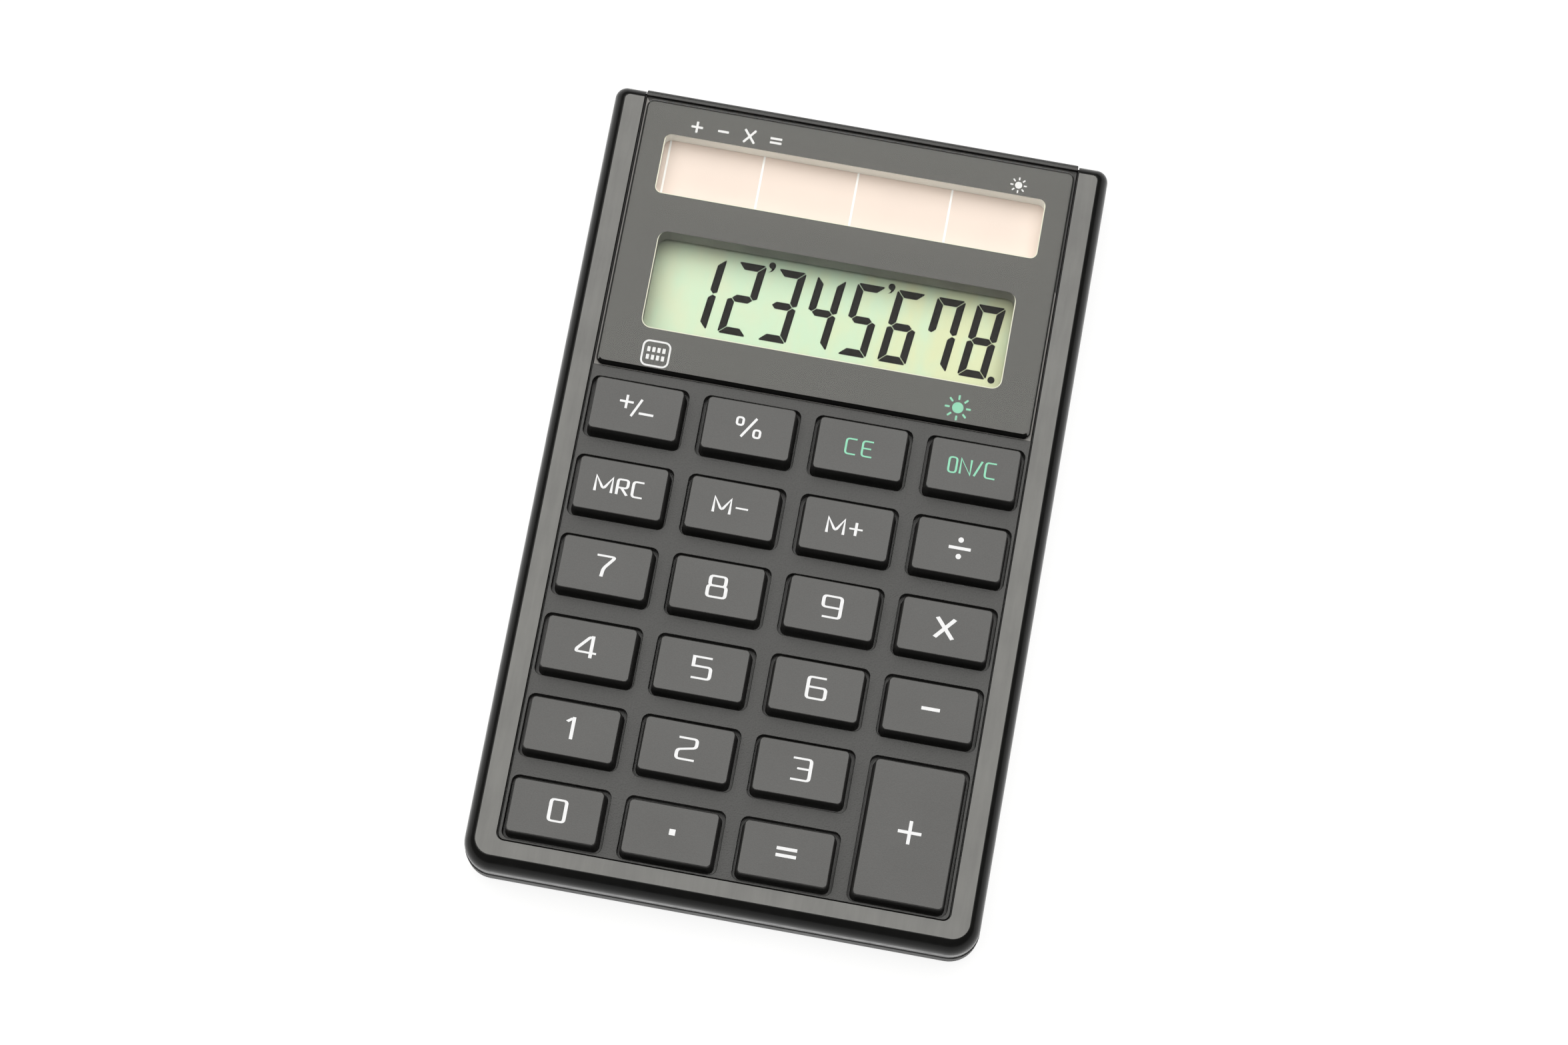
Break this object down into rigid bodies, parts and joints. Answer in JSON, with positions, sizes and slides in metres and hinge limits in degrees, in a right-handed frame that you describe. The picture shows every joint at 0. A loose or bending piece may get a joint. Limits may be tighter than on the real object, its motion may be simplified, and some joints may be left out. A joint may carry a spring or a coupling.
{
  "type": "pocket calculator",
  "caption": "Flat solar pocket calculator: gloss U-shaped rim, matte keypad deck with spring-back keys, clear lens over a segment display and a solar strip.",
  "frame": {"origin": "on the surface it lies on, under the middle of the case", "axes": "+Y along the case towards the display, +Z out of the keys, +X to the right when it is read"},
  "size_m": [0.0698, 0.1112, 0.0112],
  "materials": {
    "key_plastic": "fine spark-eroded texture, satin, dark grey",
    "gloss_rim": "polished black plastic",
    "matte_panel": "fine matte texture, dark grey",
    "rear_plastic": "fine matte texture, black",
    "screw_steel": "zinc plated",
    "clear_lens": "clear polished acrylic",
    "mask_print": "dark grey ink behind the lens",
    "tape": "black double-sided tape",
    "polariser": "satin film",
    "display_glass": "thin float glass",
    "reflector": "fine grained silver-green film",
    "ribbon": "amber film with printed tracks",
    "solar_cell": "thin film on glass, in four strips",
    "gasket_foam": "light grey foam",
    "wire_red": "insulated wire",
    "wire_black": "insulated wire",
    "bracket_plastic": "moulded, natural white",
    "board": "green solder mask",
    "carbon": "printed carbon ink",
    "epoxy": "poured black resin",
    "capacitor_sleeve": "blue shrink sleeve",
    "diode_glass": "glass bead",
    "resistor": "ceramic chip",
    "silicone": "moulded silicone",
    "pill": "conductive rubber",
    "legend_white": "printed ink",
    "legend_green": "printed ink",
    "lcd_segment": "darkened liquid crystal"
  },
  "bodies": {
    "case": {"front_bezel": "gloss_rim", "front_panel": "matte_panel", "rear_case": "rear_plastic", "case_screws": "screw_steel", "display_lens": "clear_lens", "lens_mask": "mask_print", "lens_tape": "tape", "lcd_front_polariser": "polariser", "lcd_front_glass": "display_glass", "lcd_rear_glass": "display_glass", "lcd_reflector": "reflector", "lcd_ribbon": "ribbon", "solar_cell": "solar_cell", "solar_gasket": "gasket_foam", "solar_wire_positive": "wire_red", "solar_wire_negative": "wire_black", "display_bracket": "bracket_plastic", "bracket_screws": "screw_steel", "circuit_board": "board", "contact_pads": "carbon", "chip_cover": "epoxy", "capacitor": "capacitor_sleeve", "clamp_diode": "diode_glass", "chip_resistors": "resistor", "board_screws": "screw_steel", "rubber_keypad": "silicone", "contact_pills": "pill"},
    "key_sign": {"key_sign": "key_plastic"},
    "key_percent": {"key_percent": "key_plastic"},
    "key_clear_entry": {"key_clear_entry": "key_plastic"},
    "key_on_clear": {"key_on_clear": "key_plastic"},
    "key_memory_recall": {"key_memory_recall": "key_plastic"},
    "key_memory_minus": {"key_memory_minus": "key_plastic"},
    "key_memory_plus": {"key_memory_plus": "key_plastic"},
    "key_divide": {"key_divide": "key_plastic"},
    "key_7": {"key_7": "key_plastic"},
    "key_8": {"key_8": "key_plastic"},
    "key_9": {"key_9": "key_plastic"},
    "key_multiply": {"key_multiply": "key_plastic"},
    "key_4": {"key_4": "key_plastic"},
    "key_5": {"key_5": "key_plastic"},
    "key_6": {"key_6": "key_plastic"},
    "key_minus": {"key_minus": "key_plastic"},
    "key_1": {"key_1": "key_plastic"},
    "key_2": {"key_2": "key_plastic"},
    "key_3": {"key_3": "key_plastic"},
    "key_0": {"key_0": "key_plastic"},
    "key_point": {"key_point": "key_plastic"},
    "key_equals": {"key_equals": "key_plastic"},
    "key_plus": {"key_plus": "key_plastic"}
  },
  "joints": [
    {"name": "press_sign", "type": "slide", "parent": "case", "child": "key_sign", "axis": [0, 0, -1], "range_m": [0, 0.0012], "stiffness_N_per_m": 300, "springref_m": -0.001, "deforming": ["rubber_keypad", "contact_pills"]},
    {"name": "press_percent", "type": "slide", "parent": "case", "child": "key_percent", "axis": [0, 0, -1], "range_m": [0, 0.0012], "stiffness_N_per_m": 300, "springref_m": -0.001, "deforming": ["rubber_keypad", "contact_pills"]},
    {"name": "press_clear_entry", "type": "slide", "parent": "case", "child": "key_clear_entry", "axis": [0, 0, -1], "range_m": [0, 0.0012], "stiffness_N_per_m": 300, "springref_m": -0.001, "deforming": ["rubber_keypad", "contact_pills"]},
    {"name": "press_on_clear", "type": "slide", "parent": "case", "child": "key_on_clear", "axis": [0, 0, -1], "range_m": [0, 0.0012], "stiffness_N_per_m": 300, "springref_m": -0.001, "deforming": ["rubber_keypad", "contact_pills"]},
    {"name": "press_memory_recall", "type": "slide", "parent": "case", "child": "key_memory_recall", "axis": [0, 0, -1], "range_m": [0, 0.0012], "stiffness_N_per_m": 300, "springref_m": -0.001, "deforming": ["rubber_keypad", "contact_pills"]},
    {"name": "press_memory_minus", "type": "slide", "parent": "case", "child": "key_memory_minus", "axis": [0, 0, -1], "range_m": [0, 0.0012], "stiffness_N_per_m": 300, "springref_m": -0.001, "deforming": ["rubber_keypad", "contact_pills"]},
    {"name": "press_memory_plus", "type": "slide", "parent": "case", "child": "key_memory_plus", "axis": [0, 0, -1], "range_m": [0, 0.0012], "stiffness_N_per_m": 300, "springref_m": -0.001, "deforming": ["rubber_keypad", "contact_pills"]},
    {"name": "press_divide", "type": "slide", "parent": "case", "child": "key_divide", "axis": [0, 0, -1], "range_m": [0, 0.0012], "stiffness_N_per_m": 300, "springref_m": -0.001, "deforming": ["rubber_keypad", "contact_pills"]},
    {"name": "press_7", "type": "slide", "parent": "case", "child": "key_7", "axis": [0, 0, -1], "range_m": [0, 0.0012], "stiffness_N_per_m": 300, "springref_m": -0.001, "deforming": ["rubber_keypad", "contact_pills"]},
    {"name": "press_8", "type": "slide", "parent": "case", "child": "key_8", "axis": [0, 0, -1], "range_m": [0, 0.0012], "stiffness_N_per_m": 300, "springref_m": -0.001, "deforming": ["rubber_keypad", "contact_pills"]},
    {"name": "press_9", "type": "slide", "parent": "case", "child": "key_9", "axis": [0, 0, -1], "range_m": [0, 0.0012], "stiffness_N_per_m": 300, "springref_m": -0.001, "deforming": ["rubber_keypad", "contact_pills"]},
    {"name": "press_multiply", "type": "slide", "parent": "case", "child": "key_multiply", "axis": [0, 0, -1], "range_m": [0, 0.0012], "stiffness_N_per_m": 300, "springref_m": -0.001, "deforming": ["rubber_keypad", "contact_pills"]},
    {"name": "press_4", "type": "slide", "parent": "case", "child": "key_4", "axis": [0, 0, -1], "range_m": [0, 0.0012], "stiffness_N_per_m": 300, "springref_m": -0.001, "deforming": ["rubber_keypad", "contact_pills"]},
    {"name": "press_5", "type": "slide", "parent": "case", "child": "key_5", "axis": [0, 0, -1], "range_m": [0, 0.0012], "stiffness_N_per_m": 300, "springref_m": -0.001, "deforming": ["rubber_keypad", "contact_pills"]},
    {"name": "press_6", "type": "slide", "parent": "case", "child": "key_6", "axis": [0, 0, -1], "range_m": [0, 0.0012], "stiffness_N_per_m": 300, "springref_m": -0.001, "deforming": ["rubber_keypad", "contact_pills"]},
    {"name": "press_minus", "type": "slide", "parent": "case", "child": "key_minus", "axis": [0, 0, -1], "range_m": [0, 0.0012], "stiffness_N_per_m": 300, "springref_m": -0.001, "deforming": ["rubber_keypad", "contact_pills"]},
    {"name": "press_1", "type": "slide", "parent": "case", "child": "key_1", "axis": [0, 0, -1], "range_m": [0, 0.0012], "stiffness_N_per_m": 300, "springref_m": -0.001, "deforming": ["rubber_keypad", "contact_pills"]},
    {"name": "press_2", "type": "slide", "parent": "case", "child": "key_2", "axis": [0, 0, -1], "range_m": [0, 0.0012], "stiffness_N_per_m": 300, "springref_m": -0.001, "deforming": ["rubber_keypad", "contact_pills"]},
    {"name": "press_3", "type": "slide", "parent": "case", "child": "key_3", "axis": [0, 0, -1], "range_m": [0, 0.0012], "stiffness_N_per_m": 300, "springref_m": -0.001, "deforming": ["rubber_keypad", "contact_pills"]},
    {"name": "press_0", "type": "slide", "parent": "case", "child": "key_0", "axis": [0, 0, -1], "range_m": [0, 0.0012], "stiffness_N_per_m": 300, "springref_m": -0.001, "deforming": ["rubber_keypad", "contact_pills"]},
    {"name": "press_point", "type": "slide", "parent": "case", "child": "key_point", "axis": [0, 0, -1], "range_m": [0, 0.0012], "stiffness_N_per_m": 300, "springref_m": -0.001, "deforming": ["rubber_keypad", "contact_pills"]},
    {"name": "press_equals", "type": "slide", "parent": "case", "child": "key_equals", "axis": [0, 0, -1], "range_m": [0, 0.0012], "stiffness_N_per_m": 300, "springref_m": -0.001, "deforming": ["rubber_keypad", "contact_pills"]},
    {"name": "press_plus", "type": "slide", "parent": "case", "child": "key_plus", "axis": [0, 0, -1], "range_m": [0, 0.0012], "stiffness_N_per_m": 300, "springref_m": -0.001, "deforming": ["rubber_keypad", "contact_pills"]}
  ]
}
